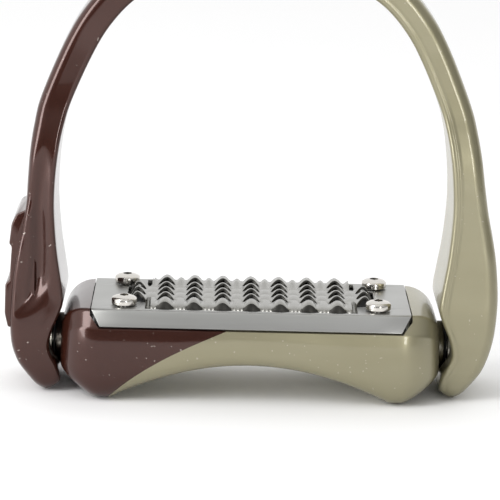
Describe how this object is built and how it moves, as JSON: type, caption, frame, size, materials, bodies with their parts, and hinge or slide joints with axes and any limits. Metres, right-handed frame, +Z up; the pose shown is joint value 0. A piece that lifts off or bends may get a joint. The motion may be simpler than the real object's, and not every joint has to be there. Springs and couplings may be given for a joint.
{
  "type": "jointed stirrup iron",
  "caption": "Stirrup iron with a two-colour arch, a slotted eye for the leather and a steel rasp tread that tilts on sprung rubber bushes.",
  "frame": {"origin": "centre of the footprint, on the surface that the tread's feet stand on", "axes": "+X across the tread towards the champagne arm, +Y along the horse, +Z up towards the eye"},
  "size_m": [0.1552, 0.05, 0.162],
  "materials": {
    "arch_frame": "gloss lacquer in two colours, dark brown on one side and champagne on the other",
    "pivot_core": "turned steel",
    "clamp_washer": "polished steel",
    "lock_washer": "plain steel",
    "pivot_bolt": "stainless steel",
    "tread_body": "gloss lacquer in two colours that meet on a slanting line, dark brown and champagne",
    "cover_tray": "brushed stainless steel",
    "rasp_plate": "pressed stainless steel",
    "rubber_pad": "matt black rubber",
    "plate_screw": "bright stainless steel",
    "thread_insert": "plain steel",
    "bush_outer_sleeve": "polished steel",
    "rubber_bush": "black rubber bonded between the sleeve and the core",
    "seal_ring": "black rubber"
  },
  "bodies": {
    "arch": {"arch_frame": "arch_frame", "pivot_core_left": "pivot_core", "pivot_core_right": "pivot_core", "clamp_washer_left": "clamp_washer", "clamp_washer_right": "clamp_washer", "lock_washer_left": "lock_washer", "lock_washer_right": "lock_washer", "pivot_bolt_left": "pivot_bolt", "pivot_bolt_right": "pivot_bolt"},
    "tread": {"tread_body": "tread_body", "cover_tray": "cover_tray", "rasp_plate": "rasp_plate", "rubber_pad": "rubber_pad", "plate_screw_front_left": "plate_screw", "thread_insert_front_left": "thread_insert", "plate_screw_front_right": "plate_screw", "thread_insert_front_right": "thread_insert", "plate_screw_rear_left": "plate_screw", "thread_insert_rear_left": "thread_insert", "plate_screw_rear_right": "plate_screw", "thread_insert_rear_right": "thread_insert", "bush_outer_sleeve_left": "bush_outer_sleeve", "rubber_bush_left": "rubber_bush", "seal_ring_left": "seal_ring", "bush_outer_sleeve_right": "bush_outer_sleeve", "rubber_bush_right": "rubber_bush", "seal_ring_right": "seal_ring"}
  },
  "joints": [
    {"name": "tread_tilt", "type": "hinge", "parent": "arch", "child": "tread", "pos_m": [0, 0, 0.0144], "axis": [1, 0, 0], "range_deg": [-12, 12], "stiffness_Nm_per_rad": 2}
  ]
}
